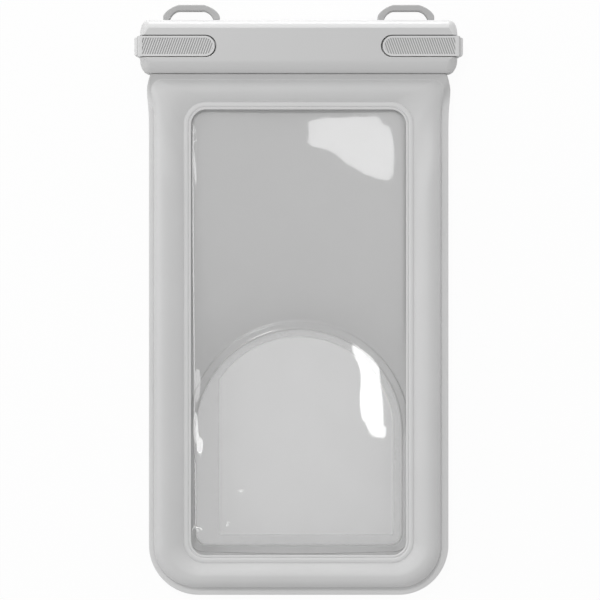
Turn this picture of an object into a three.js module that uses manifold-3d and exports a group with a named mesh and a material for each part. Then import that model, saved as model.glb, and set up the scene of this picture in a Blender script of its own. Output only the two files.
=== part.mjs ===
// A floating waterproof phone pouch, lying on its back with the window and the closure facing up.
//
// Two rigid bars clamp the mouth of a soft pouch between silicone strips. A flip latch at each end
// turns on a steel pin in the back bar, wraps round the bars' ends and lies flush in the front bar.
// The pouch is two padded frames welded together round the rim, with a clear film in the front one
// and a grey panel with an arch-shaped camera window in the back one.
//
// Millimetres. X is the width, +Y runs from the pouch to the closure, +Z points out of the front.
// While the pieces are made, y = 0 is the lower edge of the closure and z = 0 is the resting plane.

import * as THREE from 'three';
import { mergeVertices } from 'three/addons/utils/BufferGeometryUtils.js';
import Module from 'manifold-3d';

const wasm = await Module();
wasm.setup();

// Closure bars
const BAR_OVERHANG = 3.3;
const BAR_HEIGHT = 20.4;
const BAR_DEPTH = 7.35;
const BAR_GAP = 0.3;
const BAR_TOP_CORNER = 3.5;
const BAR_BOTTOM_CORNER = 4.1;
const BAR_END_FLAT = 8.6;
const BAR_CORNER_BULGE = 0.24;
const BAR_CORNER_STEPS = 5;
const BAR_SHOULDER = 2;
const FACE_TOP_INSET = 3.4;
const FACE_BOTTOM_INSET = 4.5;
const FACE_END_INSET = 1.9;
const BEVEL_SWEEP = THREE.MathUtils.degToRad(62);
const BEVEL_STEPS = 4;

// Latches and their pins
const LATCH_WIDTH = 7.6;
const LATCH_LENGTH = 30.2;
const LATCH_RAISE = 0.05;
const LATCH_OVERHANG = 2;
const LATCH_ARM = 2.2;
const LATCH_EDGE_RADIUS = 1.1;
const LATCH_CORNER_RADIUS = 1.4;
const PAD_END_SETBACK = 1.2;
const ARM_SIDE_INSET = 0.45;
const ARM_STEP_LEAD = 0.15;
const ARM_CORNER = 1;
const ARM_SHOULDER_DROP = 2.4;
const PAD_THICKNESS = 2.6;
const PAD_DROP = 0.2;
const LATCH_CLEARANCE = 0.35;
const NAIL_GAP = 0.65;
const PIN_RADIUS = 1;
const PIN_LENGTH = 11.2;
const PIN_INSET = 2.2;
const PIN_HEIGHT = 4.6;
const PIN_CLEARANCE = 0.05;
const KNUCKLE_RADIUS = 2.4;
const KNUCKLE_CLEARANCE = 0.7;
const KNUCKLE_SETBACK = 0.2;
const HOOK_REACH = 0.8;
const HOOK_HEIGHT = 1.4;
const HOOK_RISE = 2.6;

// Grip ribs on the latches
const RIB_PITCH = 0.905;
const RIB_WIDTH = 0.45;
const RIB_DEPTH = 0.35;
const RIB_ROOT = 0.17;
const RIB_DROP = 0.1;
const RIB_SLANT = THREE.MathUtils.degToRad(20);
const RIB_BORDER = 0.75;

// Lanyard loops
const LOOP_INSET = 19.3;
const LOOP_HALF_WIDTH = 10.6;
const LOOP_RISE = 5.7;
const LOOP_SIDE_RISE = 1.6;
const LOOP_TOP_HALF = 4.9;
const LOOP_BAR = 2.35;
const LOOP_OUTER_CUT = 1.4;
const LOOP_INNER_CUT = 0.8;
const LOOP_DEPTH = 5;
const LOOP_FOOT = 4.2;
const LOOP_HEAD_HEIGHT = 1.2;
const LOOP_HEAD_OVERHANG = 0.8;

// Seal strips
const SEAL_CENTRE_Y = 8.2;
const SEAL_WIDTH = 3.4;
const SEAL_HEIGHT = 1.7;
const SEAL_END_MARGIN = 1.5;
const SEAL_RIDGE = 0.5;
const GROOVE_DEPTH = 2.2;

// Soft pouch
const WINDOW_WIDTH = 81.4;
const WINDOW_HEIGHT = 167.7;
const WINDOW_RADIUS = 5.8;
const BEAD_WIDTH = 2.4;
const BEAD_THICKNESS = 0.6;
const CUSHION_SIDE = 10.7;
const CUSHION_TOP = 8.2;
const CUSHION_BOTTOM = 9.9;
const FRONT_CUSHION_HEIGHT = 7.35;
const CUSHION_CREST_OUTER = 0.42;
const CUSHION_CREST_INNER = 0.56;
const CUSHION_STEPS = 5;
const FLANGE_WIDTH = 2.4;
const FLANGE_TOP_WIDTH = 2.2;
const FLANGE_THICKNESS = 0.5;
const BODY_BOTTOM_RADIUS = 18.75;
const BODY_TOP_RADIUS = 4;
const FRONT_BEAD_RISE = 3.6;
const BACK_BEAD_RISE = 5;
const FILM_THICKNESS = 0.5;
const CORNER_STEPS = 6;

// The flat neck of the pouch, which passes between the bars
const NECK_INSET = 1.2;
const NECK_LATCH_CLEARANCE = 2.2;
const NECK_TAPER = 3;
const NECK_LOOP_CLEARANCE = 1;
const NECK_RELIEF = 0.85;

// Camera window
const CAMERA_MARGIN = 2.1;
const CAMERA_FLOOR = 3.8;
const CAMERA_STRAIGHT = 42.4;
const CAMERA_CORNER_RADIUS = 4.5;
const CAMERA_BAND = 3.4;
const CAMERA_BAND_RISE = 0.5;
const CAMERA_OVERLAP = 1.6;

// Common running gap between pieces that meet, and the facets of small rounds
const FIT = 0.3;
const ROUND_STEPS = 24;

// Places worked out from the sizes
const MID = BAR_DEPTH + BAR_GAP / 2;
const BODY_HALF_WIDTH = WINDOW_WIDTH / 2 + BEAD_WIDTH + CUSHION_SIDE + FLANGE_WIDTH;
const BAR_HALF_LENGTH = BODY_HALF_WIDTH + BAR_OVERHANG;
const LATCH_CENTRE_Y = BAR_HEIGHT / 2 + LATCH_RAISE;
const PIN_X = BAR_HALF_LENGTH - PIN_INSET;
const LATCH_OUTER_X = BAR_HALF_LENGTH + LATCH_OVERHANG;
const LATCH_INNER_X = LATCH_OUTER_X - LATCH_LENGTH;
const PAD_END_X = LATCH_OUTER_X - PAD_END_SETBACK;
const ARM_INNER_X = LATCH_OUTER_X - LATCH_ARM;
const PAD_TOP = MID + BAR_GAP / 2 + BAR_DEPTH - PAD_DROP;
const PAD_BOTTOM = PAD_TOP - PAD_THICKNESS;
const HOOK_Z = MID + HOOK_RISE;
const LOOP_CENTRE_X = BAR_HALF_LENGTH - LOOP_INSET;
const LOOP_TOP_Y = BAR_HEIGHT + LOOP_RISE;
const LOOP_FOOT_Y = BAR_HEIGHT - LOOP_FOOT;
const WINDOW_TOP_Y = -(FLANGE_TOP_WIDTH + CUSHION_TOP + BEAD_WIDTH);
const WINDOW_BOTTOM_Y = WINDOW_TOP_Y - WINDOW_HEIGHT;
const BACK_CUSHION_HEIGHT = BAR_DEPTH;
const BODY_BOTTOM_Y = WINDOW_BOTTOM_Y - BEAD_WIDTH - CUSHION_BOTTOM - FLANGE_WIDTH;
const CAMERA_HALF_WIDTH = WINDOW_WIDTH / 2 - CAMERA_MARGIN;
const CAMERA_FLOOR_Y = WINDOW_BOTTOM_Y + CAMERA_FLOOR;
const LATCH_SLOT_X = PIN_X - KNUCKLE_RADIUS - KNUCKLE_CLEARANCE;
const NECK_HALF_WIDTH = BODY_HALF_WIDTH - NECK_INSET;
const NECK_INNER_HALF_WIDTH = LATCH_SLOT_X - NECK_LATCH_CLEARANCE;
const NECK_HEIGHT = LOOP_FOOT_Y - LOOP_HEAD_HEIGHT - NECK_LOOP_CLEARANCE;
const SEAL_LENGTH = 2 * (NECK_INNER_HALF_WIDTH - SEAL_END_MARGIN);
const SEAL_OFFSET = BAR_GAP / 2 + FLANGE_THICKNESS + FIT;

// Materials
const plastic = (color, roughness) => new THREE.MeshStandardMaterial({ color, roughness, metalness: 0 });
const steel = (color, roughness) => new THREE.MeshStandardMaterial({ color, roughness, metalness: 1 });
const clear = (color, opacity) =>
  new THREE.MeshStandardMaterial({ color, roughness: 0.08, metalness: 0, transparent: true, opacity });

const BAR_GREY = plastic(0xc4c4c4, 0.42);
const LATCH_GREY = plastic(0xd2d2d2, 0.38);
const LOOP_GREY = plastic(0xa6a6a6, 0.5);
const SEAL_WHITE = plastic(0xe6e6e4, 0.6);
const PIN_STEEL = steel(0xb8b8b8, 0.3);
const SOFT_GREY = plastic(0xcbcbcb, 0.48);
const PANEL_GREY = plastic(0xbcbcbc, 0.5);
const CLEAR_FILM = clear(0xf2f4f5, 0.3);

// Closes a list of corner positions and triangles into an outward-facing geometry.
function closedGeometry(positions, triangles) {
  const geometry = new THREE.BufferGeometry();
  geometry.setAttribute('position', new THREE.Float32BufferAttribute(positions, 3));
  const [a, b, c] = [new THREE.Vector3(), new THREE.Vector3(), new THREE.Vector3()];
  const corner = (target, index) => target.fromArray(positions, index * 3);
  let volume = 0;
  for (let i = 0; i < triangles.length; i += 3) {
    corner(a, triangles[i]);
    corner(b, triangles[i + 1]);
    corner(c, triangles[i + 2]);
    volume += a.dot(b.cross(c)) / 6;
  }
  if (volume < 0) {
    triangles.reverse();
  }
  geometry.setIndex(triangles);
  return geometry;
}

// Joins rings of equal length into a body with a flat convex cap at each end.
function loft(rings) {
  const count = rings[0].length;
  const triangles = [];
  for (let r = 0; r + 1 < rings.length; r++) {
    for (let i = 0; i < count; i++) {
      const next = (i + 1) % count;
      const [a, b] = [r * count + i, r * count + next];
      triangles.push(a, b, b + count, a, b + count, a + count);
    }
  }
  const last = (rings.length - 1) * count;
  for (let i = 1; i + 1 < count; i++) {
    triangles.push(0, i + 1, i);
    triangles.push(last, last + i, last + i + 1);
  }
  return closedGeometry(rings.flat(2), triangles);
}

// Joins rings of equal length into a body that closes on itself, like a frame of constant make.
function ringLoft(rings) {
  const count = rings[0].length;
  const triangles = [];
  for (let r = 0; r < rings.length; r++) {
    const following = ((r + 1) % rings.length) * count;
    for (let i = 0; i < count; i++) {
      const next = (i + 1) % count;
      const [a, b] = [r * count + i, r * count + next];
      triangles.push(a, b, following + next, a, following + next, following + i);
    }
  }
  return closedGeometry(rings.flat(2), triangles);
}

// Turns a closed geometry into a solid that can be joined and cut.
function solid(geometry) {
  const bare = geometry.clone();
  bare.deleteAttribute('normal');
  bare.deleteAttribute('uv');
  const merged = mergeVertices(bare, 1e-4);
  const vertProperties = new Float32Array(merged.attributes.position.array);
  const triVerts = new Uint32Array(merged.index.array);
  return new wasm.Manifold(new wasm.Mesh({ numProp: 3, vertProperties, triVerts }));
}

// Turns a solid back into a geometry with flat shading.
function geometryOf(body) {
  const { vertProperties, triVerts } = body.getMesh();
  const geometry = new THREE.BufferGeometry();
  geometry.setAttribute('position', new THREE.BufferAttribute(new Float32Array(vertProperties), 3));
  geometry.setIndex(new THREE.BufferAttribute(new Uint32Array(triVerts), 1));
  const faceted = geometry.toNonIndexed();
  faceted.computeVertexNormals();
  return faceted;
}

function block([x0, x1], [y0, y1], [z0, z1]) {
  const geometry = new THREE.BoxGeometry(Math.abs(x1 - x0), y1 - y0, z1 - z0);
  return solid(geometry.translate((x0 + x1) / 2, (y0 + y1) / 2, (z0 + z1) / 2));
}

// A flat plate of the given outline between two heights.
function plate(shape, low, high) {
  const geometry = new THREE.ExtrudeGeometry(shape, {
    depth: high - low,
    bevelEnabled: false,
    curveSegments: CORNER_STEPS,
  });
  return solid(geometry.translate(0, 0, low));
}

// A profile drawn in X and Z, carried along Y for a width about a centre.
function acrossY(shape, centre, width, curveSegments = CORNER_STEPS) {
  const geometry = new THREE.ExtrudeGeometry(shape, { depth: width, bevelEnabled: false, curveSegments });
  return solid(geometry.rotateX(Math.PI / 2).translate(0, centre + width / 2, 0));
}

function rodAlongY(radius, x, z, [y0, y1]) {
  const geometry = new THREE.CylinderGeometry(radius, radius, y1 - y0, ROUND_STEPS);
  return solid(geometry.translate(x, (y0 + y1) / 2, z));
}

// One corner of a bar's outline, from a point on its end to a point on its long edge. The corner
// bows outwards at the joint between the bars and runs straight at the face.
function barCorner([endX, endY], [edgeX, edgeY], bulge) {
  const middle = [(endX + edgeX) / 2 + bulge * (endX - edgeX), (endY + edgeY) / 2 + bulge * (edgeY - endY)];
  const curve = new THREE.QuadraticBezierCurve(
    new THREE.Vector2(endX, endY),
    new THREE.Vector2(...middle),
    new THREE.Vector2(edgeX, edgeY),
  );
  return curve.getPoints(BAR_CORNER_STEPS).map((point) => [point.x, point.y]);
}

// The bar's outline, drawn in from its full size by a share of the face's insets.
function barRing(share, z) {
  const low = FACE_BOTTOM_INSET * share;
  const high = BAR_HEIGHT - FACE_TOP_INSET * share;
  const end = BAR_HALF_LENGTH - FACE_END_INSET * share;
  const [endLow, endHigh] = [LATCH_CENTRE_Y - BAR_END_FLAT / 2, LATCH_CENTRE_Y + BAR_END_FLAT / 2];
  const bulge = BAR_CORNER_BULGE * (1 - share) * 2;
  const lowCorner = barCorner([end, endLow], [BAR_HALF_LENGTH - BAR_BOTTOM_CORNER, low], bulge);
  const highCorner = barCorner([end, endHigh], [BAR_HALF_LENGTH - BAR_TOP_CORNER, high], bulge);
  const right = [...lowCorner.reverse(), ...highCorner];
  const left = right.map(([x, y]) => [-x, y]).reverse();
  return [...right, ...left].map(([x, y]) => [x, y, z]);
}

// One bar without its cuts: upright walls at the joint, then a rounded bevel up to a flat face.
function barBlank(side) {
  const inner = BAR_GAP / 2;
  const outer = inner + BAR_DEPTH;
  const rings = [barRing(0, MID + side * inner)];
  for (let step = 0; step <= BEVEL_STEPS; step++) {
    const angle = (BEVEL_SWEEP * step) / BEVEL_STEPS;
    const share = (1 - Math.cos(angle)) / (1 - Math.cos(BEVEL_SWEEP));
    const climb = Math.sin(angle) / Math.sin(BEVEL_SWEEP);
    const height = BAR_SHOULDER + (outer - BAR_SHOULDER) * climb;
    rings.push(barRing(share, MID + side * height));
  }
  return solid(loft(rings));
}

// The neck's outline inside the closure, grown by a clearance.
function neckShape(grow, rootY) {
  const wide = NECK_HALF_WIDTH + grow;
  const narrow = NECK_INNER_HALF_WIDTH + grow;
  const shape = new THREE.Shape();
  shape.moveTo(-wide, rootY);
  shape.lineTo(wide, rootY);
  shape.lineTo(wide, 0);
  shape.lineTo(narrow, NECK_TAPER);
  shape.lineTo(narrow, NECK_HEIGHT + grow);
  shape.lineTo(-narrow, NECK_HEIGHT + grow);
  shape.lineTo(-narrow, NECK_TAPER);
  shape.lineTo(-wide, 0);
  return shape;
}

// The inner face's cuts that both bars share: room for the neck, a seal groove and loop sockets.
function cutInnerFace(bar, side) {
  const span = (near, far) => (side > 0 ? [MID + near, MID + far] : [MID - far, MID - near]);
  const relief = BAR_GAP / 2 + NECK_RELIEF;
  const [reliefLow, reliefHigh] = span(-FIT, relief);
  const grooveX = SEAL_LENGTH / 2 + FIT;
  const grooveY = SEAL_WIDTH / 2 + FIT;
  let body = bar.subtract(plate(neckShape(FIT, -1), reliefLow, reliefHigh));
  const groove = block(
    [-grooveX, grooveX],
    [SEAL_CENTRE_Y - grooveY, SEAL_CENTRE_Y + grooveY],
    span(0, relief + GROOVE_DEPTH),
  );
  body = body.subtract(groove);
  for (const end of [-1, 1]) {
    body = body.subtract(loopSocket(end));
  }
  return body;
}

// Room for both feet of a lanyard loop, cut half into each bar.
function loopSocket(end) {
  const depth = [MID - LOOP_DEPTH / 2 - FIT, MID + LOOP_DEPTH / 2 + FIT];
  const centre = end * LOOP_CENTRE_X;
  const cuts = [-1, 1].map((foot) => {
    const outer = centre + foot * (LOOP_HALF_WIDTH + FIT);
    const inner = centre + foot * (LOOP_HALF_WIDTH - LOOP_BAR - FIT);
    const footX = [Math.min(outer, inner), Math.max(outer, inner)];
    const slot = block(footX, [LOOP_FOOT_Y, BAR_HEIGHT + 1], depth);
    const headX = [footX[0] - LOOP_HEAD_OVERHANG, footX[1] + LOOP_HEAD_OVERHANG];
    const headY = [LOOP_FOOT_Y - LOOP_HEAD_HEIGHT - FIT, LOOP_FOOT_Y + FIT];
    return slot.add(block(headX, headY, depth));
  });
  return cuts[0].add(cuts[1]);
}

// Room for a latch seen from the front: open past the bar's end and round at the inner end.
function latchPlan(end, grow, innerGap, reach) {
  const half = LATCH_WIDTH / 2 + grow;
  const innerX = LATCH_INNER_X - grow - innerGap;
  const centreX = end * (innerX + half);
  const [low, high] = [LATCH_CENTRE_Y - half, LATCH_CENTRE_Y + half];
  const shape = new THREE.Shape();
  shape.moveTo(end * reach, low);
  shape.lineTo(centreX, low);
  shape.absarc(centreX, LATCH_CENTRE_Y, half, -Math.PI / 2, Math.PI / 2, end > 0);
  shape.lineTo(end * reach, high);
  return shape;
}

// A latch seen from the front: a pill with rounded outer corners, then a narrower arm past its end.
function latchOutline(end) {
  const half = LATCH_WIDTH / 2;
  const arm = half - ARM_SIDE_INSET;
  const centreX = end * (LATCH_INNER_X + half);
  const cornerX = end * (PAD_END_X - LATCH_CORNER_RADIUS);
  const stepX = end * (PAD_END_X + ARM_STEP_LEAD);
  const outerX = end * LATCH_OUTER_X;
  const reach = end * (LATCH_OUTER_X + FIT);
  const shape = new THREE.Shape();
  shape.moveTo(reach, LATCH_CENTRE_Y - arm + ARM_CORNER);
  shape.quadraticCurveTo(outerX, LATCH_CENTRE_Y - arm, stepX, LATCH_CENTRE_Y - arm);
  shape.quadraticCurveTo(stepX, LATCH_CENTRE_Y - half, cornerX, LATCH_CENTRE_Y - half);
  shape.lineTo(centreX, LATCH_CENTRE_Y - half);
  shape.absarc(centreX, LATCH_CENTRE_Y, half, -Math.PI / 2, Math.PI / 2, end > 0);
  shape.lineTo(cornerX, LATCH_CENTRE_Y + half);
  shape.quadraticCurveTo(stepX, LATCH_CENTRE_Y + half, stepX, LATCH_CENTRE_Y + arm);
  shape.quadraticCurveTo(outerX, LATCH_CENTRE_Y + arm, reach, LATCH_CENTRE_Y + arm - ARM_CORNER);
  return shape;
}

// A latch seen along its pin: the pad, the arm round the bar's end and the lead to the knuckle.
function latchProfile(end) {
  const r = LATCH_EDGE_RADIUS;
  const shoulder = PAD_TOP - ARM_SHOULDER_DROP;
  const buried = KNUCKLE_RADIUS - FIT;
  const shape = new THREE.Shape();
  shape.moveTo(end * LATCH_INNER_X, PAD_TOP);
  shape.lineTo(end * (PAD_END_X - r), PAD_TOP);
  shape.quadraticCurveTo(end * PAD_END_X, PAD_TOP, end * PAD_END_X, PAD_TOP - r);
  shape.lineTo(end * PAD_END_X, shoulder);
  shape.quadraticCurveTo(end * LATCH_OUTER_X, shoulder, end * LATCH_OUTER_X, shoulder - r);
  shape.lineTo(end * LATCH_OUTER_X, PIN_HEIGHT + KNUCKLE_RADIUS);
  shape.quadraticCurveTo(end * LATCH_OUTER_X, PIN_HEIGHT - buried, end * PIN_X, PIN_HEIGHT - buried);
  shape.lineTo(end * PIN_X, PIN_HEIGHT + buried);
  shape.lineTo(end * ARM_INNER_X, MID);
  shape.lineTo(end * ARM_INNER_X, HOOK_Z - HOOK_HEIGHT / 2);
  shape.lineTo(end * (ARM_INNER_X - HOOK_REACH), HOOK_Z);
  shape.lineTo(end * ARM_INNER_X, HOOK_Z + HOOK_HEIGHT / 2);
  shape.lineTo(end * ARM_INNER_X, PAD_BOTTOM);
  shape.lineTo(end * LATCH_INNER_X, PAD_BOTTOM);
  return shape;
}

// The slanted ribs of a latch pad, cut to the room given. They stay a little under the pad's top.
function latchRibs(end, room) {
  const [fromX, toX] = [LATCH_INNER_X, LATCH_OUTER_X];
  const lean = (LATCH_WIDTH / 2) * Math.tan(RIB_SLANT);
  const count = Math.floor((toX - fromX) / RIB_PITCH);
  let ribs = null;
  for (let i = 0; i <= count; i++) {
    const x = end * (fromX + i * RIB_PITCH);
    const rib = new THREE.Shape();
    rib.moveTo(x + end * lean - RIB_WIDTH / 2, LATCH_CENTRE_Y - LATCH_WIDTH / 2);
    rib.lineTo(x + end * lean + RIB_WIDTH / 2, LATCH_CENTRE_Y - LATCH_WIDTH / 2);
    rib.lineTo(x - end * lean + RIB_WIDTH / 2, LATCH_CENTRE_Y + LATCH_WIDTH / 2);
    rib.lineTo(x - end * lean - RIB_WIDTH / 2, LATCH_CENTRE_Y + LATCH_WIDTH / 2);
    const body = plate(rib, PAD_TOP - RIB_DEPTH - RIB_ROOT, PAD_TOP - RIB_DROP);
    ribs = ribs ? ribs.add(body) : body;
  }
  return ribs.intersect(room);
}

function latch(end) {
  let body = acrossY(latchProfile(end), LATCH_CENTRE_Y, LATCH_WIDTH);
  body = body.intersect(plate(latchOutline(end), 0, PAD_TOP + 1));
  const span = (half) => [LATCH_CENTRE_Y - half, LATCH_CENTRE_Y + half];
  const knuckleWidth = span(LATCH_WIDTH / 2 - KNUCKLE_SETBACK);
  const boreWidth = span(LATCH_WIDTH / 2 + 1);
  body = body.add(rodAlongY(KNUCKLE_RADIUS, end * PIN_X, PIN_HEIGHT, knuckleWidth));
  body = body.subtract(rodAlongY(PIN_RADIUS + PIN_CLEARANCE, end * PIN_X, PIN_HEIGHT, boreWidth));
  const fieldEnd = PAD_END_X - RIB_BORDER - LATCH_EDGE_RADIUS;
  const fieldFloor = PAD_TOP - RIB_DEPTH;
  const field = plate(latchPlan(end, -RIB_BORDER, 0, fieldEnd), fieldFloor, PAD_TOP + 1);
  const rootPlan = latchPlan(end, RIB_ROOT - RIB_BORDER, 0, fieldEnd + RIB_ROOT);
  const ribs = latchRibs(end, plate(rootPlan, fieldFloor - RIB_ROOT, PAD_TOP));
  return body.subtract(field).add(ribs);
}

function latchPin(end) {
  const half = PIN_LENGTH / 2;
  return rodAlongY(PIN_RADIUS, end * PIN_X, PIN_HEIGHT, [LATCH_CENTRE_Y - half, LATCH_CENTRE_Y + half]);
}

function frontBar() {
  let body = cutInnerFace(barBlank(1), 1);
  const beyond = LATCH_OUTER_X + 1;
  const halfSlot = LATCH_WIDTH / 2 + LATCH_CLEARANCE;
  const slotY = [LATCH_CENTRE_Y - halfSlot, LATCH_CENTRE_Y + halfSlot];
  for (const end of [-1, 1]) {
    const recess = latchPlan(end, LATCH_CLEARANCE, NAIL_GAP - LATCH_CLEARANCE, beyond);
    body = body.subtract(plate(recess, PAD_BOTTOM - FIT, PAD_TOP + 1));
    const slotX = [end * (ARM_INNER_X - FIT), end * beyond].sort((a, b) => a - b);
    body = body.subtract(block(slotX, slotY, [MID, PAD_TOP + 1]));
    const catchX = [end * (ARM_INNER_X - HOOK_REACH - FIT), end * beyond].sort((a, b) => a - b);
    const catchZ = [HOOK_Z - HOOK_HEIGHT / 2 - FIT, HOOK_Z + HOOK_HEIGHT / 2 + FIT];
    body = body.subtract(block(catchX, slotY, catchZ));
  }
  return body;
}

function backBar() {
  let body = cutInnerFace(barBlank(-1), -1);
  const beyond = LATCH_OUTER_X + 1;
  const halfSlot = LATCH_WIDTH / 2 + LATCH_CLEARANCE;
  const slotY = [LATCH_CENTRE_Y - halfSlot, LATCH_CENTRE_Y + halfSlot];
  for (const end of [-1, 1]) {
    const slotX = [end * LATCH_SLOT_X, end * beyond].sort((a, b) => a - b);
    body = body.subtract(block(slotX, slotY, [-1, MID + 1]));
    const blindEnd = LATCH_CENTRE_Y + PIN_LENGTH / 2 + FIT;
    body = body.subtract(rodAlongY(PIN_RADIUS + PIN_CLEARANCE, end * PIN_X, PIN_HEIGHT, [-1, blindEnd]));
  }
  return body;
}

// An arch with its two feet trapped between the bars by a small head on each. Each corner bends
// about a point drawn in from its sharp corner by a cut, so it runs more diagonal than a round.
function lanyardLoop(end) {
  const centre = end * LOOP_CENTRE_X;
  const outerSideY = BAR_HEIGHT + LOOP_SIDE_RISE;
  const outerBend = [LOOP_HALF_WIDTH - LOOP_OUTER_CUT, LOOP_TOP_Y - LOOP_OUTER_CUT];
  const innerHalf = LOOP_HALF_WIDTH - LOOP_BAR;
  const innerTopY = LOOP_TOP_Y - LOOP_BAR;
  const innerBend = [innerHalf - LOOP_INNER_CUT, innerTopY - LOOP_INNER_CUT];
  const shape = new THREE.Shape();
  shape.moveTo(centre - LOOP_HALF_WIDTH, LOOP_FOOT_Y);
  shape.lineTo(centre - LOOP_HALF_WIDTH, outerSideY);
  shape.quadraticCurveTo(centre - outerBend[0], outerBend[1], centre - LOOP_TOP_HALF, LOOP_TOP_Y);
  shape.lineTo(centre + LOOP_TOP_HALF, LOOP_TOP_Y);
  shape.quadraticCurveTo(centre + outerBend[0], outerBend[1], centre + LOOP_HALF_WIDTH, outerSideY);
  shape.lineTo(centre + LOOP_HALF_WIDTH, LOOP_FOOT_Y);
  shape.lineTo(centre + innerHalf, LOOP_FOOT_Y);
  shape.lineTo(centre + innerHalf, BAR_HEIGHT);
  shape.quadraticCurveTo(centre + innerBend[0], innerBend[1], centre + LOOP_TOP_HALF, innerTopY);
  shape.lineTo(centre - LOOP_TOP_HALF, innerTopY);
  shape.quadraticCurveTo(centre - innerBend[0], innerBend[1], centre - innerHalf, BAR_HEIGHT);
  shape.lineTo(centre - innerHalf, LOOP_FOOT_Y);
  const depth = [MID - LOOP_DEPTH / 2, MID + LOOP_DEPTH / 2];
  let body = plate(shape, ...depth);
  for (const foot of [-1, 1]) {
    const edges = [
      centre + foot * (innerHalf - LOOP_HEAD_OVERHANG),
      centre + foot * (LOOP_HALF_WIDTH + LOOP_HEAD_OVERHANG),
    ];
    const headX = [Math.min(...edges), Math.max(...edges)];
    body = body.add(block(headX, [LOOP_FOOT_Y - LOOP_HEAD_HEIGHT, LOOP_FOOT_Y], depth));
  }
  return body;
}

// A strip that presses on the neck: one ridge on the front one, which meets a channel in the back one.
function sealStrip(side) {
  const half = SEAL_WIDTH / 2;
  const face = MID + side * SEAL_OFFSET;
  const root = face + side * (SEAL_HEIGHT + SEAL_RIDGE);
  const crest = face + side * SEAL_RIDGE;
  const [edge, middle] = side > 0 ? [crest, face] : [face, crest];
  const shape = new THREE.Shape();
  shape.moveTo(-half, root);
  shape.lineTo(-half, edge);
  shape.lineTo(-half / 2, edge);
  shape.quadraticCurveTo(-half / 4, middle, 0, middle);
  shape.quadraticCurveTo(half / 4, middle, half / 2, edge);
  shape.lineTo(half, edge);
  shape.lineTo(half, root);
  const geometry = new THREE.ExtrudeGeometry(shape, {
    depth: SEAL_LENGTH,
    bevelEnabled: false,
    curveSegments: CORNER_STEPS,
  });
  const toYZ = new THREE.Matrix4().set(0, 0, 1, 0, 1, 0, 0, 0, 0, 1, 0, 0, 0, 0, 0, 1);
  geometry.applyMatrix4(toYZ).translate(-SEAL_LENGTH / 2, SEAL_CENTRE_Y, 0);
  return solid(geometry);
}

// A rounded outline of the pouch, grown from the window by one amount at each edge.
function outline(side, top, bottom, topRadius, bottomRadius) {
  return {
    halfWidth: WINDOW_WIDTH / 2 + side,
    top: WINDOW_TOP_Y + top,
    bottom: WINDOW_BOTTOM_Y - bottom,
    topRadius,
    bottomRadius,
  };
}

const WINDOW_EDGE = outline(0, 0, 0, WINDOW_RADIUS, WINDOW_RADIUS);
const BEAD_RADIUS = WINDOW_RADIUS + BEAD_WIDTH;
const BEAD_EDGE = outline(BEAD_WIDTH, BEAD_WIDTH, BEAD_WIDTH, BEAD_RADIUS, BEAD_RADIUS);
const CREASE_EDGE = outline(
  BEAD_WIDTH + CUSHION_SIDE,
  BEAD_WIDTH + CUSHION_TOP,
  BEAD_WIDTH + CUSHION_BOTTOM,
  BODY_TOP_RADIUS,
  BODY_BOTTOM_RADIUS - FLANGE_WIDTH,
);
const FLANGE_EDGE = outline(
  BEAD_WIDTH + CUSHION_SIDE + FLANGE_WIDTH,
  BEAD_WIDTH + CUSHION_TOP + FLANGE_TOP_WIDTH,
  BEAD_WIDTH + CUSHION_BOTTOM + FLANGE_WIDTH,
  BODY_TOP_RADIUS,
  BODY_BOTTOM_RADIUS,
);

function between(from, to, share) {
  const mixed = {};
  for (const key of Object.keys(from)) {
    mixed[key] = THREE.MathUtils.lerp(from[key], to[key], share);
  }
  return mixed;
}

// Points round an outline at one height, in the same order and number for every outline.
function outlineRing(edge, z) {
  const { halfWidth, top, bottom, topRadius, bottomRadius } = edge;
  const corners = [
    [halfWidth - bottomRadius, bottom + bottomRadius, bottomRadius, -Math.PI / 2],
    [halfWidth - topRadius, top - topRadius, topRadius, 0],
    [topRadius - halfWidth, top - topRadius, topRadius, Math.PI / 2],
    [bottomRadius - halfWidth, bottom + bottomRadius, bottomRadius, Math.PI],
  ];
  return corners.flatMap(([x, y, radius, start]) =>
    Array.from({ length: CORNER_STEPS + 1 }, (_, step) => {
      const angle = start + ((Math.PI / 2) * step) / CORNER_STEPS;
      return [x + radius * Math.cos(angle), y + radius * Math.sin(angle), z];
    }),
  );
}

function outlineShape(edge) {
  return new THREE.Shape(outlineRing(edge, 0).map(([x, y]) => new THREE.Vector2(x, y)));
}

// Height of the inflated skin above the weld line, from the outer crease (0) to the bead (1).
function cushionProfile(crest, beadRise) {
  const points = [];
  for (let step = 0; step <= CUSHION_STEPS; step++) {
    const angle = (Math.PI / 2) * (step / CUSHION_STEPS);
    const share = CUSHION_CREST_OUTER * (1 - Math.cos(angle));
    points.push([share, THREE.MathUtils.lerp(FLANGE_THICKNESS, crest, Math.sin(angle))]);
  }
  for (let step = 0; step <= CUSHION_STEPS; step++) {
    const angle = (Math.PI / 2) * (step / CUSHION_STEPS);
    const share = CUSHION_CREST_INNER + (1 - CUSHION_CREST_INNER) * Math.sin(angle);
    points.push([share, THREE.MathUtils.lerp(beadRise + BEAD_THICKNESS, crest, Math.cos(angle))]);
  }
  return points;
}

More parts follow.
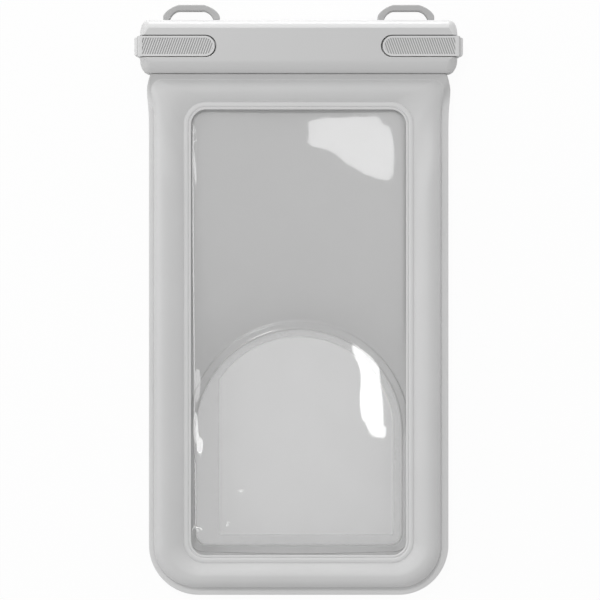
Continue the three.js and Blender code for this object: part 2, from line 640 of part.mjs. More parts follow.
// One padded frame: rim flange, puffed cushion, flat bead round the window and neck for the closure.
function paddedFrame(side, crest, beadRise) {
  const root = BAR_GAP / 2;
  const height = (offset) => MID + side * (root + offset);
  const rings = [
    outlineRing(FLANGE_EDGE, height(0)),
    outlineRing(FLANGE_EDGE, height(FLANGE_THICKNESS)),
  ];
  for (const [share, rise] of cushionProfile(crest, beadRise)) {
    rings.push(outlineRing(between(CREASE_EDGE, BEAD_EDGE, share), height(rise)));
  }
  rings.push(outlineRing(WINDOW_EDGE, height(beadRise + BEAD_THICKNESS)));
  rings.push(outlineRing(WINDOW_EDGE, height(beadRise)));
  rings.push(outlineRing(BEAD_EDGE, height(beadRise)));
  rings.push(outlineRing(BEAD_EDGE, height(0)));
  const [low, high] = [height(0), height(FLANGE_THICKNESS)].sort((a, b) => a - b);
  return solid(ringLoft(rings)).add(plate(neckShape(0, -FLANGE_TOP_WIDTH), low, high));
}

// The outline of a film that lies under a bead, just clear of the cushion's inner wall.
function filmEdge() {
  const grow = BEAD_WIDTH - FIT;
  return outline(grow, grow, grow, WINDOW_RADIUS + grow, WINDOW_RADIUS + grow);
}

function frontWindow() {
  const high = MID + BAR_GAP / 2 + FRONT_BEAD_RISE - FIT;
  return plate(outlineShape(filmEdge()), high - FILM_THICKNESS, high);
}

// The camera window's arch, grown by a margin.
function cameraShape(grow) {
  const half = CAMERA_HALF_WIDTH + grow;
  const floor = CAMERA_FLOOR_Y - grow;
  const spring = CAMERA_FLOOR_Y + CAMERA_STRAIGHT;
  const radius = CAMERA_CORNER_RADIUS + grow;
  const shape = new THREE.Shape();
  shape.moveTo(radius - half, floor);
  shape.lineTo(half - radius, floor);
  shape.absarc(half - radius, floor + radius, radius, -Math.PI / 2, 0, false);
  shape.lineTo(half, spring);
  shape.absellipse(0, spring, half, half, 0, Math.PI, false, 0);
  shape.lineTo(-half, floor + radius);
  shape.absarc(radius - half, floor + radius, radius, Math.PI, Math.PI * 1.5, false);
  return shape;
}

const PANEL_LOW = MID - BAR_GAP / 2 - BACK_BEAD_RISE + FIT;
const PANEL_HIGH = PANEL_LOW + FILM_THICKNESS;

function backPanel() {
  const sheet = plate(outlineShape(filmEdge()), PANEL_LOW, PANEL_HIGH);
  const band = plate(cameraShape(CAMERA_BAND), PANEL_LOW, PANEL_HIGH + CAMERA_BAND_RISE);
  const opening = plate(cameraShape(0), PANEL_LOW - 1, PANEL_HIGH + CAMERA_BAND_RISE + 1);
  return sheet.add(band).subtract(opening);
}

function cameraWindow() {
  const high = PANEL_LOW - FIT;
  return plate(cameraShape(CAMERA_OVERLAP), high - FILM_THICKNESS, high);
}

const pouch = new THREE.Group();

function place(name, body, material) {
  const mesh = new THREE.Mesh(geometryOf(body), material);
  mesh.name = name;
  pouch.add(mesh);
}

place('front_clamp_bar', frontBar(), BAR_GREY);
place('back_clamp_bar', backBar(), BAR_GREY);
place('front_seal_strip', sealStrip(1), SEAL_WHITE);
place('back_seal_strip', sealStrip(-1), SEAL_WHITE);
for (const [label, end] of [['left', -1], ['right', 1]]) {
  place(`${label}_latch`, latch(end), LATCH_GREY);
  place(`${label}_latch_pin`, latchPin(end), PIN_STEEL);
  place(`${label}_lanyard_loop`, lanyardLoop(end), LOOP_GREY);
}
place('front_padded_frame', paddedFrame(1, FRONT_CUSHION_HEIGHT, FRONT_BEAD_RISE), SOFT_GREY);
place('back_padded_frame', paddedFrame(-1, BACK_CUSHION_HEIGHT, BACK_BEAD_RISE), SOFT_GREY);
place('front_window', frontWindow(), CLEAR_FILM);
place('back_panel', backPanel(), PANEL_GREY);
place('camera_window', cameraWindow(), CLEAR_FILM);

// The origin is under the middle of the whole pouch.
pouch.position.y = -(LOOP_TOP_Y + BODY_BOTTOM_Y) / 2;

export default pouch;
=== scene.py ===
# %% [markdown]
# # A waterproof phone pouch, dressed for its portrait
# The pouch is two puffed frames of soft welded film, a clear touch film in front, a grey panel
# with an arch-shaped camera window behind, and a rigid closure with two flip latches. The rigid
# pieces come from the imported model. This lesson gives them their finish and remakes the soft
# pieces as fine surfaces, because a puffed skin shows every facet that a rigid solid could hide.

import bmesh
import bpy
import numpy as np
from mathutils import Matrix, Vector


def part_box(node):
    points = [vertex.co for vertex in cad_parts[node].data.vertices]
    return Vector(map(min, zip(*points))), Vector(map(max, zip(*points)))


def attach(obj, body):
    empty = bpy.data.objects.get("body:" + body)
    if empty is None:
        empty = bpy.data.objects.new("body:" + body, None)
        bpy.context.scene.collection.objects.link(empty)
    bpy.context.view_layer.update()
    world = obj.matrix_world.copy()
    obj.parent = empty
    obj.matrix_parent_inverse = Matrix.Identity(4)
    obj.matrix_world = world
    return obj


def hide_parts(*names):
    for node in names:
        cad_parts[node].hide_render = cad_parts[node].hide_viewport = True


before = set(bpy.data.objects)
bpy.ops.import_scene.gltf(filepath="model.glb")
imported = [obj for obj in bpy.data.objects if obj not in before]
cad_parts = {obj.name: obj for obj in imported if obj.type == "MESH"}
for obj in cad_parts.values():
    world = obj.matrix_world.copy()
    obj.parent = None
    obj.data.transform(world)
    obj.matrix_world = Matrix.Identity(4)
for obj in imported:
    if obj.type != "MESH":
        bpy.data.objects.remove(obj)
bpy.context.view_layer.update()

MM = 0.001
print("nodes:", ", ".join(sorted(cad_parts)))

# %% [markdown]
# ## The places that the pieces take
# Nothing is placed by eye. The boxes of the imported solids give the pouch's outer size, the plane
# in which its two halves are welded, and the edge of the window. The few widths below are those
# of the welded flange and of the flat bead that frames the window. The film stops a little short
# of the bead's outer edge, by the fit.

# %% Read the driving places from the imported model
FLANGE = 2.85 * MM
FLANGE_TOP = 2.2 * MM
BEAD = 2.4 * MM
FIT = 0.3 * MM

front_low, front_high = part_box("front_padded_frame")
back_low, back_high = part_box("back_padded_frame")
film_low, film_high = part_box("front_window")
panel_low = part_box("back_panel")[0]
lens_low, lens_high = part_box("camera_window")
bar_low, bar_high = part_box("front_clamp_bar")

WINDOW_HALF = film_high.x - BEAD + FIT
WINDOW_TOP = film_high.y - BEAD + FIT
WINDOW_BOTTOM = film_low.y + BEAD - FIT
BODY_HALF = front_high.x
BODY_BOTTOM = front_low.y
BODY_TOP = bar_low.y
NECK_TOP = front_high.y
print(f"window {WINDOW_HALF * 2 / MM:.1f} by {(WINDOW_TOP - WINDOW_BOTTOM) / MM:.1f} mm")

# %% [markdown]
# ## One outline, many rings
# Every soft piece follows the same rounded rectangle, only wider or narrower. Five outlines are
# named from the rim inwards and numbered 0 to 4: the rim, the crease where the puffed part starts,
# the bead's outer edge, the window's edge, and one more bead's width inside. A ring anywhere
# between them is a blend of its two neighbours, so a section can be drawn as pairs of
# "how far in" and "how high" and carried round the whole pouch in one go.

# %% Outlines as arrays
SIDE_STEPS = 110
END_STEPS = 70
CORNER_STEPS = 26

# half width, top, bottom, top corner radius, bottom corner radius
OUTLINES = np.array([
    [BODY_HALF, BODY_TOP, BODY_BOTTOM, 0.9 * MM, 18.75 * MM],
    [BODY_HALF - FLANGE, BODY_TOP - FLANGE_TOP, BODY_BOTTOM + FLANGE, 3.2 * MM, 15.9 * MM],
    [WINDOW_HALF + BEAD, WINDOW_TOP + BEAD, WINDOW_BOTTOM - BEAD, 8.4 * MM, 8.2 * MM],
    [WINDOW_HALF, WINDOW_TOP, WINDOW_BOTTOM, 6.2 * MM, 5.8 * MM],
    [WINDOW_HALF - BEAD, WINDOW_TOP - BEAD, WINDOW_BOTTOM + BEAD, 4.0 * MM, 3.6 * MM],
])


def outline_walk():
    """Corner number, angle and share of the straight run after it, for a walk round the outline."""
    corner, angle, run = [], [], []
    for number, steps in enumerate([SIDE_STEPS, END_STEPS, SIDE_STEPS, END_STEPS]):
        turn = np.linspace(0, 1, CORNER_STEPS, endpoint=False)
        ahead = np.linspace(0, 1, steps, endpoint=False)
        corner += [number] * (CORNER_STEPS + steps)
        angle += [*(number - 1 + turn), *(number + 0 * ahead)]
        run += [*(0 * turn), *ahead]
    return np.array(corner), np.array(angle) * np.pi / 2, np.array(run)


def outline_rings(inset):
    """Rings of x and y for a column of insets, where 0 is the rim and 3 the window's edge.

    A point is a corner's centre plus its radius along the walk's angle, and on a straight run it
    slides from there to the same point of the next corner.
    """
    half, top, bottom, top_radius, bottom_radius = (
        np.interp(inset, range(len(OUTLINES)), column) for column in OUTLINES.T
    )
    centre_x = [half - bottom_radius, half - top_radius, top_radius - half, bottom_radius - half]
    centre_y = [bottom + bottom_radius, top - top_radius, top - top_radius, bottom + bottom_radius]
    radius = [bottom_radius, top_radius, top_radius, bottom_radius]
    corner, angle, run = outline_walk()
    ends = []
    for which in (corner, (corner + 1) % 4):
        x = np.choose(which, centre_x) + np.choose(which, radius) * np.cos(angle)
        y = np.choose(which, centre_y) + np.choose(which, radius) * np.sin(angle)
        ends.append(np.stack([x, y], -1))
    return ends[0] + (ends[1] - ends[0]) * run[:, None]


print("points round the outline:", outline_rings(np.zeros((1, 1))).shape[1])

# %% [markdown]
# ## From rings to a mesh
# Rings stacked in an array make a grid whose columns close on themselves. If the last ring joins
# the first, the piece is a closed tube like a picture frame. If not, each end shrinks to a pole,
# and the piece is a closed sheet. The rings run outwards below and inwards above, so every face
# looks outwards.

# %% Helpers that make a piece
def ring_faces(rows, columns, wrap):
    """Quads between neighbouring rings, and between the last and the first one if wrap is true."""
    row = np.arange(rows if wrap else rows - 1)[:, None] * columns
    following = (row + columns) % (rows * columns)
    here = np.arange(columns)[None]
    beside = (here + 1) % columns
    corners = [row + here, row + beside, following + beside, following + here]
    return np.stack(corners, -1).reshape(-1, 4)


def add_object(name, data):
    """An object of that name for a mesh, a lamp or a camera, linked into the scene."""
    piece = bpy.data.objects.new(name, data)
    bpy.context.scene.collection.objects.link(piece)
    return piece


def make_piece(name, points, faces):
    """A smooth mesh object of that name, with its place in its mesh."""
    mesh = bpy.data.meshes.new(name)
    mesh.from_pydata(points, [], faces)
    mesh.update()
    mesh.shade_smooth()
    return add_object(name, mesh)


def tube_piece(name, rings, flipped=False):
    """A closed piece of rings by points by 3, whose last ring joins its first."""
    faces = ring_faces(rings.shape[0], rings.shape[1], True)
    return make_piece(name, rings.reshape(-1, 3), faces[:, ::-1] if flipped else faces)


def sheet_piece(name, rings, first_pole, last_pole):
    """A closed sheet: rings out from a pole below, round the edge and in to a pole above."""
    rows, columns = rings.shape[:2]
    points = np.vstack([rings.reshape(-1, 3), first_pole, last_pole])
    here = np.arange(columns)
    beside = (here + 1) % columns
    last = (rows - 1) * columns
    below = np.stack([np.full(columns, rows * columns), beside, here], -1)
    above = np.stack([np.full(columns, rows * columns + 1), last + here, last + beside], -1)
    faces = ring_faces(rows, columns, False).tolist() + below.tolist() + above.tolist()
    return make_piece(name, points, faces)


def paint_points(piece, name, values):
    """Stores one number for each point of the piece, for its finish to read."""
    layer = piece.data.attributes.new(name, "FLOAT", "POINT")
    layer.data.foreach_set("value", np.ravel(values).astype(np.float32))


def dress(piece, material, body, replaced):
    """Gives a piece its finish and its body, and hides the node that it stands for."""
    piece.data.materials.clear()
    piece.data.materials.append(material)
    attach(piece, body)
    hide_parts(replaced)
    print(piece.name, "has", len(piece.data.polygons), "faces")


# %% [markdown]
# ## Shader maths in plain Python
# A finish is a small network of nodes. Wiring them by hand hides the idea, so a wire here is an
# object that knows how to add, subtract and multiply: writing 0.9 + 0.2 * cloud adds two Math
# nodes. One method adds any other node from its type, its settings and what goes into its sockets.

# %% Wires and finishes
class Wire:
    """An output socket of a finish. Arithmetic on it adds Math nodes."""

    def __init__(self, finish, socket):
        self.finish = finish
        self.socket = socket

    def math(self, operation, first, second):
        return self.finish.add("Math", {"operation": operation}, {0: first, 1: second})

    def __add__(self, other):
        return self.math("ADD", self, other)

    def __sub__(self, other):
        return self.math("SUBTRACT", self, other)

    def __mul__(self, other):
        return self.math("MULTIPLY", self, other)

    def __pow__(self, other):
        return self.math("POWER", self, other)

    __radd__ = __add__
    __rmul__ = __mul__

    def most(self, other):
        """The larger of two wires."""
        return self.math("MAXIMUM", self, other)

    def __getitem__(self, name):
        """Another output of the same node."""
        return Wire(self.finish, self.socket.node.outputs[name])


class Finish:
    """A node network under construction, on a new material or on any given tree."""

    def __init__(self, name, tree=None):
        if tree is None:
            self.material = bpy.data.materials.new(name)
            self.material.use_nodes = True
            tree = self.material.node_tree
        self.tree = tree
        tree.nodes.clear()

    def add(self, kind, settings=None, sockets=None, output=0):
        """Adds a node of a kind, sets it, fills its sockets and gives one of its outputs."""
        node = self.tree.nodes.new("ShaderNode" + kind)
        for name, value in (settings or {}).items():
            setattr(node, name, value)
        for name, value in (sockets or {}).items():
            if isinstance(value, Wire):
                self.tree.links.new(value.socket, node.inputs[name])
            else:
                node.inputs[name].default_value = value
        return Wire(self, node.outputs[output]) if node.outputs else None

    def place(self):
        """The point on the piece, in metres."""
        return self.add("TexCoord")["Object"]

    def noise(self, size, detail=2.0):
        """A soft random pattern, 0 to 1, whose patches measure about size metres."""
        sockets = {"Vector": self.place(), "Scale": 1 / size, "Detail": detail}
        return self.add("TexNoise", {}, sockets)

    def mix(self, mask, first, second):
        """The first grey where the mask is 0 and the second where it is 1."""
        sockets = {0: mask, 6: grey(first), 7: grey(second)}
        return self.add("Mix", {"data_type": "RGBA"}, sockets, 2)

    def ramp(self, value, low, high):
        """Stretches a value so that it runs from 0 at low to 1 at high."""
        return self.add("MapRange", {}, {"Value": value, "From Min": low, "From Max": high})

    def bump(self, height, depth, normal=None):
        """A normal bent by a height pattern whose full swing is depth metres."""
        sockets = {"Height": height, "Distance": depth}
        if normal is not None:
            sockets["Normal"] = normal
        return self.add("Bump", {}, sockets)

    def layer(self, name):
        """The numbers that were painted on the piece's points under that name."""
        return self.add("Attribute", {"attribute_name": name})["Fac"]

    def show(self, shader):
        """Ends the network at its output, and gives the material."""
        self.add("OutputMaterial", {}, {"Surface": shader})
        return self.material


def grey(shade):
    """An opaque colour with the same number in all three channels."""
    return (shade, shade, shade, 1.0)


def seen(value):
    """Turns a shade as a screen shows it, 0 to 255, into light."""
    return ((value / 255 + 0.055) / 1.055) ** 2.4


# %% [markdown]
# ## The finishes
# All of the pouch is grey on grey, so the finishes differ in gloss and grain more than in colour.
# The closure is satin moulded plastic with a very fine spark-eroded grain. The puffed skin is a
# welded film with a softer sheen and a slight unevenness from the heat of the weld. The panel is
# the same film, with a glossier coat where it is pressed. On both, a painted layer gives the welds
# their own tone and also carries painted shade and painted light. Each is one Principled shader
# whose colour and roughness wander by a few per cent, with a bump for the grain.

# %% Opaque finishes
CLOUD_SIZE = 18 * MM
WAVE_SIZE = 9 * MM
WAVE_DEPTH = 0.04 * MM
PLASTIC_GRAIN = 0.16 * MM
FILM_GRAIN = 0.3 * MM
GRAIN_DEPTH = 0.006 * MM
ROUGHNESS_SWING = 0.08


def satin(name, shade, roughness, grain, grain_depth, drift):
    """A satin finish: a grey that drifts by a share of itself, under a fine grain."""
    finish = Finish(name)
    cloud = finish.noise(CLOUD_SIZE, 3.0)
    fine = finish.noise(grain, 1.0)
    light = seen(shade)
    shader = finish.add("BsdfPrincipled", {}, {
        "Base Color": finish.mix(cloud, light * (1 - drift), light * (1 + drift)),
        "Roughness": roughness + ROUGHNESS_SWING * (fine - 0.5),
        "Normal": finish.bump(fine, grain_depth),
        "IOR": 1.5,
    })
    return finish.show(shader)


closure_finish = satin("closure_satin", 204, 0.32, PLASTIC_GRAIN, 0.005 * MM, 0.012)
loop_finish = satin("loop_satin", 175, 0.45, PLASTIC_GRAIN, GRAIN_DEPTH, 0.02)
silicone_finish = satin("silicone", 230, 0.6, 0.2 * MM, 0.004 * MM, 0.01)


def welded(name, shade, masked_shade, roughness, coat):
    """Soft film whose shade and coat follow a painted layer: the welds' own tone, with painted
    shade and painted light.
    """
    finish = Finish(name)
    weld_and_painted_light = finish.layer("weld_and_painted_light")
    cloud = finish.noise(CLOUD_SIZE, 3.0)
    fine = finish.noise(FILM_GRAIN, 1.0)
    waves = finish.bump(finish.noise(WAVE_SIZE), WAVE_DEPTH)
    shader = finish.add("BsdfPrincipled", {}, {
        # The painted layer sets the base colour: the welds' own tone, with painted shade and
        # painted light.
        "Base Color": finish.mix(0.8 * weld_and_painted_light + 0.2 * cloud, seen(shade), seen(masked_shade)),
        "Roughness": roughness + ROUGHNESS_SWING * (fine - 0.5),
        "Coat Weight": coat * weld_and_painted_light,
        "Coat Roughness": 0.12,
        "Normal": finish.bump(fine, GRAIN_DEPTH, waves),
    })
    return finish.show(shader)


skin_finish = welded("welded_skin", 190, 222, roughness=0.55, coat=0.0)
panel_finish = welded("panel_skin", 206, 187, roughness=0.46, coat=0.8)
print("opaque finishes made")


# %% [markdown]
# The latch is the closure's plastic in a paler shade, and the valleys between its grip ribs are
# painted darker, as painted shade for the shade that gathers there. The mask is simply the height
# on the latch, so it stays with the latch when the latch swings. Well below the valleys the plastic
# is plain again.

# %% Latch finish
RIB_DEPTH = 0.35 * MM
RIB_CROWN = 0.15 * MM
PLAIN_BELOW = (0.2 * MM, 0.4 * MM)


def ribbed(name, shade, painted_valley_shade, top):
    """Satin plastic painted darker from the ribs' crowns, just under the top, to their valleys, as
    painted shade.
    """
    finish = Finish(name)
    height = finish.add("SeparateXYZ", {}, {0: finish.place()})["Z"]
    valley = top - RIB_DEPTH
    above = finish.ramp(height, valley, top - RIB_CROWN)
    below = finish.ramp(height, valley - PLAIN_BELOW[0], valley - PLAIN_BELOW[1])
    fine = finish.noise(PLASTIC_GRAIN, 1.0)
    shader = finish.add("BsdfPrincipled", {}, {
        # Painted shade in the valleys between the ribs.
        "Base Color": finish.mix(above.most(below), seen(painted_valley_shade), seen(shade)),
        "Roughness": 0.38 + ROUGHNESS_SWING * (fine - 0.5),
        "Normal": finish.bump(fine, GRAIN_DEPTH),
        "IOR": 1.5,
    })
    return finish.show(shader)


latch_finish = ribbed("latch_satin", 217, 168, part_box("left_latch")[1].z)
print("latch finish made")


# %% [markdown]
# The pins are drawn steel wire, so fine scratches run along them. Stretching a noise along the
# wire's length draws those scratches, and they vary the roughness as well as the bump.

# %% Steel finish
def drawn_wire(name):
    """Steel with scratches along Y: noise that is finely spaced across and long along the wire."""
    finish = Finish(name)
    stretched = finish.add("Mapping", {}, {"Vector": finish.place(), "Scale": (9000, 250, 9000)})
    scratches = finish.add("TexNoise", {}, {"Vector": stretched, "Scale": 1.0, "Detail": 2.0})
    shader = finish.add("BsdfPrincipled", {}, {
        "Base Color": finish.mix(scratches, 0.42, 0.55),
        "Metallic": 1.0,
        "Roughness": 0.24 + 0.18 * scratches,
        "Normal": finish.bump(scratches, 0.004 * MM),
    })
    return finish.show(shader)


steel_finish = drawn_wire("drawn_steel")
print("steel finish made")


# %% [markdown]
# A clear film could be glass with real refraction, but then the light that reaches the panel
# through it would be lost in dark, noisy shade. So the film is drawn as what the eye needs: mostly
# nothing at all, a little milkiness, and a mirror-like skin that strengthens at a low angle.

# %% Clear film finish
def clear_film(name, haze, haze_shade, clear_shade, mirror, layer=None, layer_haze=0.0):
    """Transparent, with a share of milky film, and a skin that mirrors more the flatter it is seen.

    The mirror share follows Schlick's rule: the head-on share, plus the rest times (1 - cos) to
    the fifth. A painted layer, if one is named, adds its own haze where it is 1.
    """
    finish = Finish(name)
    uneven = finish.noise(14 * MM, 1.0)
    clear = finish.add("BsdfTransparent", {}, {"Color": grey(clear_shade)})
    milk = finish.add("BsdfPrincipled", {}, {
        "Base Color": finish.mix(uneven, seen(haze_shade) * 0.97, seen(haze_shade)),
        "Roughness": 0.3 + 0.05 * uneven,
        "IOR": 1.3,
    })
    milkiness = haze * (0.9 + 0.2 * uneven)
    if layer:
        milkiness = milkiness + layer_haze * finish.layer(layer)
    body = finish.add("MixShader", {}, {0: milkiness, 1: clear, 2: milk})
    facing = finish.add("LayerWeight", {}, {"Blend": 0.5})["Facing"]
    share = mirror + (1 - mirror) * facing ** 5.0
    skin = finish.add("BsdfPrincipled", {}, {
        "Base Color": grey(0.98),
        "Metallic": 1.0,
        "Roughness": 0.01 + 0.01 * uneven,
    })
    return finish.show(finish.add("MixShader", {}, {0: share, 1: body, 2: skin}))


touch_finish = clear_film("touch_film", haze=0.03, haze_shade=235, clear_shade=0.985, mirror=0.035)
lens_finish = clear_film("lens_film", haze=0.12, haze_shade=255, clear_shade=0.72, mirror=0.0,
                         layer="tray", layer_haze=0.66)
print("clear film finishes made")


# %% [markdown]
# ## The puffed frames
# Each half of the pouch is a soft tube round the window. In section it starts with a thin flat
# flange, where the two halves are welded, then rises steeply to a crest and runs down a gentler
# flank to the flat bead that holds the film. The rise is a quarter of a superellipse, fuller than
# a circle. At the top the closure pulls the skin out of this shape: there is no flange to see, the
# skin stands up against the bar and swells from there to a lower crest.

# %% The section of a puffed frame
FULLNESS = 2.8
FLANK_POWER = 1.85
BEAD_STEP = 0.1

# pairs of inset and height in mm: up the welded edge and over the flange to the crease
RIM = [
    (0.0, 0.02), (0.0, 0.3), (0.05, 0.44), (0.09, 0.48), (0.14, 0.5), (0.4, 0.5), (0.7, 0.47),
    (0.9, 0.4), (0.98, 0.32),
]
# the same at the top, where the skin stands up against the bar
GRIPPED_RIM = [
    (0.0, 0.02), (0.0, 0.3), (0.05, 0.44), (0.06, 4.2), (0.2, 4.15), (0.4, 4.0), (0.65, 3.86),
    (0.85, 3.8), (0.98, 3.82),
]
# the bead's heights from its flat top: its outer roll, a groove, its lip and the lip's edge
BEAD_PROFILE = [
    (2.03, -0.14), (2.07, -0.1), (2.14, 0.06), (2.26, 0.16), (2.45, 0.2), (2.6, 0.18), (2.7, 0.08),
    (2.76, -0.12), (2.8, -0.24), (2.84, -0.24), (2.88, -0.1), (2.94, 0.01), (3.04, 0.02),
    (3.14, -0.08), (3.2, -0.26), (3.2, -0.75), (3.15, -0.95),
]


def puffed_section(rim, crest, crest_inset, foot, bead_under, bead_top):
    """Inset, and height above the weld in metres, all the way round the section.

    Between the rim's end and the crest the height grows as (1 - (1 - way) to the fullness) to the
    power foot, and from the crest it falls as way to the flank's power. The bead has a height
    under it and a height at its top. All heights that go in are in mm.
    """
    way = 1 - np.cos(np.linspace(0, np.pi / 2, 20))
    start = rim[-1][1]
    rise_inset = 1 + (crest_inset - 1) * way
    rise = start + (crest - start) * (1 - (1 - way) ** FULLNESS) ** foot
    way = np.linspace(0, 1, 24)[1:]
    fall_inset = crest_inset + (2 - crest_inset) * way
    end = bead_top - BEAD_STEP
    fall = end + (crest - end) * (1 - way**FLANK_POWER)
    bead = [(inset, bead_top + height) for inset, height in BEAD_PROFILE]
    below = [
        (2.6, bead_under), (2.08, bead_under), (2.0, bead_under - 0.1), (2.0, bead_under / 2),
        (2.0, 0.1), (1.96, 0.0), (1.5, 0.0), (1.0, 0.0), (0.5, 0.0), (0.05, 0.0),
    ]
    pairs = [*rim, *zip(rise_inset, rise), *zip(fall_inset, fall), *bead, *below]
    inset, height = np.array(pairs).T
    return np.array([inset, height * MM])


def frame_sections(crest, bead_under, bead_top):
    """The sections at the sides, at the shoulders, at the top and at the bottom."""
    shapes = [
        (RIM, crest, 1.44, 0.55),
        (RIM, crest - 1.6, 1.44, 0.6),
        (GRIPPED_RIM, crest - 1.4, 1.52, 1.15),
        (RIM, crest, 1.48, 0.5),
    ]
    return [puffed_section(*shape, bead_under, bead_top) for shape in shapes]


front_sections = frame_sections(crest=7.35, bead_under=3.6, bead_top=4.2)
print("points across the section:", front_sections[0].shape[1])


# %% [markdown]
# Three things stop the frame from looking machined. Its shoulders pull in where the closure grips
# them and swell just below. The tube wanders a little in height along its way, as air does in a
# welded chamber. And the flange is narrower on the left, where the crease lies nearer to the rim.
# At the top the welded edge grows a flat neck, which passes between the bars, and the skin above
# it is tucked a hair under the front bar.

# %% Warps that make the frame soft
SHOULDER_Y = BODY_TOP - 5.5 * MM
SHOULDER_SWELL = 0.75 * MM
SHOULDER_REACH = 7 * MM
GRIP_PINCH = 0.95 * MM
NECK_HALF = 52 * MM
NECK_WIDE = 55 * MM
NECK_TAPER = 3 * MM
NECK_ROOT = (1.2 * MM, 0.1 * MM)
BAR_TUCK = 0.25 * MM
TUCKED_FROM = 3 * MM
LEFT_CUT = 1.0 * MM
LEFT_SIDE = (30 * MM, 50 * MM)
WANDER = 0.12 * MM
WANDER_HEIGHTS = (4.2 * MM, 7.0 * MM)
PUFFED = 0.6

# where a section starts and where it is complete, as distances from the body's top or bottom
SHOULDER_ZONE = (34 * MM, 5 * MM)
TOP_ZONE = (9 * MM, 1 * MM)
BOTTOM_ZONE = (16 * MM, 2 * MM)


def smooth(value, low, high):
    """0 below low, 1 above high, and a smooth step between."""
    share = np.clip((value - low) / (high - low), 0, 1)
    return share * share * (3 - 2 * share)


def wander(x, y):
    """A few long waves that fade into one another, between about -1 and 1."""
    waves = np.sin(x / (17 * MM) + 0.7) * np.sin(y / (23 * MM) + 1.9)
    return 0.6 * waves + 0.4 * np.sin((x + y) / (11 * MM) + 0.4)


def shoulder(y):
    """How far the pouch's side stands out from straight, near the closure."""
    swell = SHOULDER_SWELL * np.exp(-(((y - SHOULDER_Y) / SHOULDER_REACH) ** 2))
    return swell - GRIP_PINCH * smooth(y, SHOULDER_Y, BODY_TOP)


def section_shares(rim_y):
    """The share of each of the four sections along the rim. They add up to 1."""
    near_top = smooth(rim_y, BODY_TOP - SHOULDER_ZONE[0], BODY_TOP - SHOULDER_ZONE[1])
    at_top = smooth(rim_y, BODY_TOP - TOP_ZONE[0], BODY_TOP - TOP_ZONE[1])
    at_bottom = 1 - smooth(rim_y, BODY_BOTTOM + BOTTOM_ZONE[1], BODY_BOTTOM + BOTTOM_ZONE[0])
    return [1 - near_top - at_bottom, near_top - at_top, at_top, at_bottom]


def neck_length(x):
    """How far the neck stands up from the body's top: full between the bars, less at its ends."""
    taper = NECK_TAPER * (1 - smooth(np.abs(x), NECK_HALF, NECK_WIDE))
    return taper + (NECK_TOP - BODY_TOP - NECK_TAPER) * (np.abs(x) < NECK_HALF)


def puffed_frame(name, sections, weld_z, side, flat_at=np.inf):
    """One padded frame: sections carried round the outlines, then pulled into their soft shape.

    Heights count from the weld towards the side, 1 for up and -1 for down, and the crest is
    flattened where it would stand higher than flat_at. The layer "weld_and_painted_light" is 1 on
    the bead and on the welded flange, which paints them lighter, partly as their welds' tone and
    partly as painted light against the shade beside the tube; 0 where the top's skin stands against
    the bar, as painted shade under the bar; and PUFFED elsewhere.
    """
    shares = section_shares(outline_rings(np.zeros((1, 1)))[0, :, 1])
    at_top = shares[2]
    inset, height = sum(share * section[:, :, None] for share, section in zip(shares, sections))
    flat = outline_rings(np.clip(inset, 0, 4))
    x, y = flat[..., 0], flat[..., 1]
    x = x + np.sign(x) * np.clip(2 - inset, 0, 1) * shoulder(y)
    x = x - LEFT_CUT * np.interp(inset, [0, 1, 2], [0, 1, 0]) * smooth(-x, *LEFT_SIDE)
    z = height + WANDER * smooth(height, *WANDER_HEIGHTS) * wander(x, y)
    gripped = smooth(y, BODY_TOP - NECK_ROOT[0], BODY_TOP - NECK_ROOT[1]) * (inset < 0.02)
    tucked = BAR_TUCK * at_top * (inset < 0.1) * (height > TUCKED_FROM)
    y = y + gripped * neck_length(x) + tucked
    rings = np.stack([x, y, weld_z + side * np.minimum(z, flat_at)], -1)
    piece = tube_piece(name, rings, side < 0)
    # Painted light and shade: lighter on the bead and flange, partly against the shade beside the
    # tube, and darker where the skin stands under the bar.
    flange = 1 - smooth(inset, 0.9, 1.02)
    bead = smooth(inset, 2.0, 2.1)
    paint_points(piece, "weld_and_painted_light", PUFFED + (1 - PUFFED) * bead + flange * (1 - PUFFED - at_top))
    return piece


front_pad = puffed_frame("front_cushion", front_sections, front_low.z, 1)
dress(front_pad, skin_finish, "pouch", "front_padded_frame")

# %% [markdown]
# The back frame is the same tube turned over. It carries the pouch on the table, so its crest is
# pressed flat where it rests.

# %% The back frame
back_sections = frame_sections(crest=7.5, bead_under=5.0, bead_top=5.6)
rest_height = back_high.z - back_low.z
back_pad = puffed_frame("back_cushion", back_sections, back_high.z, -1, rest_height)
dress(back_pad, skin_finish, "pouch", "back_padded_frame")


# %% [markdown]
# ## The touch film
# The film is a closed sheet 0.3 mm thick, tucked under the bead. It isn't flat: long low waves
# run over it, because the pocket holds air, and on the left it bends down to its weld. Its
# reflections show every tenth of a millimetre of that, so the height is a formula of the distance
# to the edge, plus the waves.

# %% The touch film
FILM_THICK = 0.3 * MM
FILM_RINGS = 56
FILM_CORNER = 6 * MM
EDGE_BEND = 0.9 * MM
LEFT_REACH = 3.0 * MM
LEFT_EDGE = (20 * MM, 36 * MM)
CORNER_FADE = (3 * MM, 12 * MM)
FILM_WAVE = 0.04 * MM
WAVES_FULL = 12 * MM


def edge_distance(x, y):
    """Distance inwards from the window's rounded edge, below zero outside it.

    It is the corner radius less the distance to a rectangle that is smaller by that radius.
    """
    middle = (WINDOW_TOP + WINDOW_BOTTOM) / 2
    past_x = np.abs(x) - (WINDOW_HALF - FILM_CORNER)
    past_y = np.abs(y - middle) - ((WINDOW_TOP - WINDOW_BOTTOM) / 2 - FILM_CORNER)
    outside = np.hypot(np.maximum(past_x, 0), np.maximum(past_y, 0))
    return FILM_CORNER - outside - np.minimum(np.maximum(past_x, past_y), 0)


